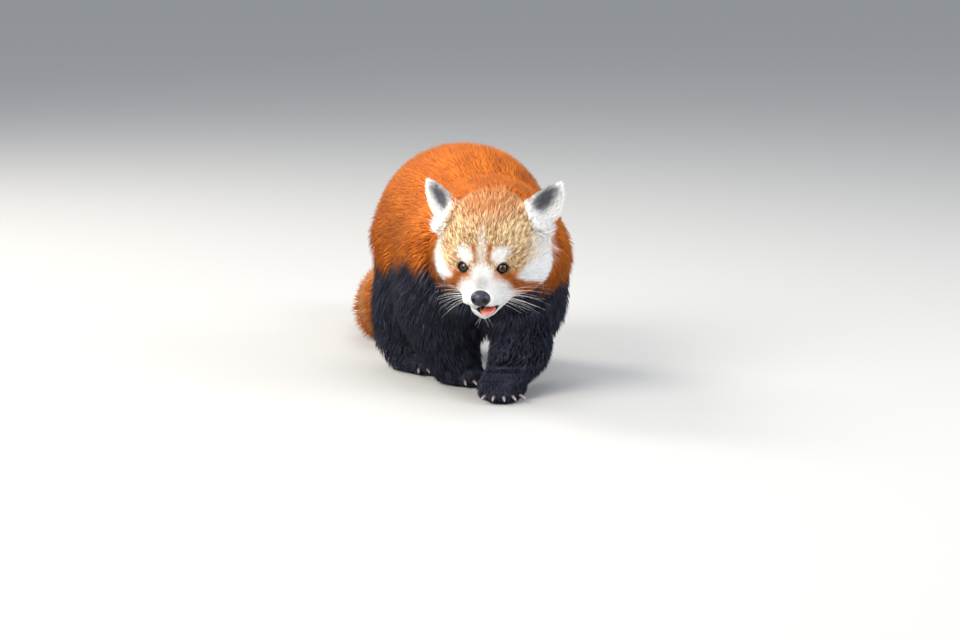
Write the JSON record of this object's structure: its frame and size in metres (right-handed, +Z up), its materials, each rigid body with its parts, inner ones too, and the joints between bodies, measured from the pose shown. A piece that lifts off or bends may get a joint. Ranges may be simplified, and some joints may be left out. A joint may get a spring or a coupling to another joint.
{
  "type": "red panda",
  "caption": "Life-size model of a red panda walking with its head low and turned, mouth slightly open, bushy tail trailing on the ground.",
  "frame": {"origin": "on the floor, under the middle of the whole model", "axes": "the animal faces -Y, its left side is +X, +Z is up"},
  "size_m": [0.2286, 0.7964, 0.2791],
  "materials": {
    "rust_fur": "long soft fur",
    "black_fur": "dense black fur",
    "face_fur": "short speckled fur",
    "white_fur": "short white fur",
    "eye": "wet gloss",
    "nose": "damp, fine grained",
    "tongue": "moist",
    "claw": "smooth horn"
  },
  "bodies": {
    "root": {"ear_right": "white_fur", "ear_left": "white_fur", "jaw": "white_fur", "front_left_foot": "black_fur", "front_right_foot": "black_fur", "hind_right_foot": "black_fur", "hind_left_foot": "black_fur", "front_left_lower": "black_fur", "front_right_lower": "black_fur", "hind_right_lower": "black_fur", "hind_left_lower": "black_fur", "front_left_upper": "black_fur", "front_right_upper": "black_fur", "hind_right_upper": "black_fur", "hind_left_upper": "black_fur", "tail_tip": "rust_fur", "tail_end": "rust_fur", "tail_middle": "rust_fur", "tail_root": "rust_fur", "face": "face_fur", "head": "face_fur", "neck": "rust_fur", "chest": "rust_fur", "loins": "rust_fur", "rump": "rust_fur", "eye_right": "eye", "eye_left": "eye", "nose": "nose", "tongue": "tongue", "front_left_claw_1": "claw", "front_left_claw_2": "claw", "front_left_claw_3": "claw", "front_left_claw_4": "claw", "front_left_claw_5": "claw", "front_right_claw_1": "claw", "front_right_claw_2": "claw", "front_right_claw_3": "claw", "front_right_claw_4": "claw", "front_right_claw_5": "claw", "hind_right_claw_1": "claw", "hind_right_claw_2": "claw", "hind_right_claw_3": "claw", "hind_right_claw_4": "claw", "hind_right_claw_5": "claw", "hind_left_claw_1": "claw", "hind_left_claw_2": "claw", "hind_left_claw_3": "claw", "hind_left_claw_4": "claw", "hind_left_claw_5": "claw"}
  },
  "joints": []
}
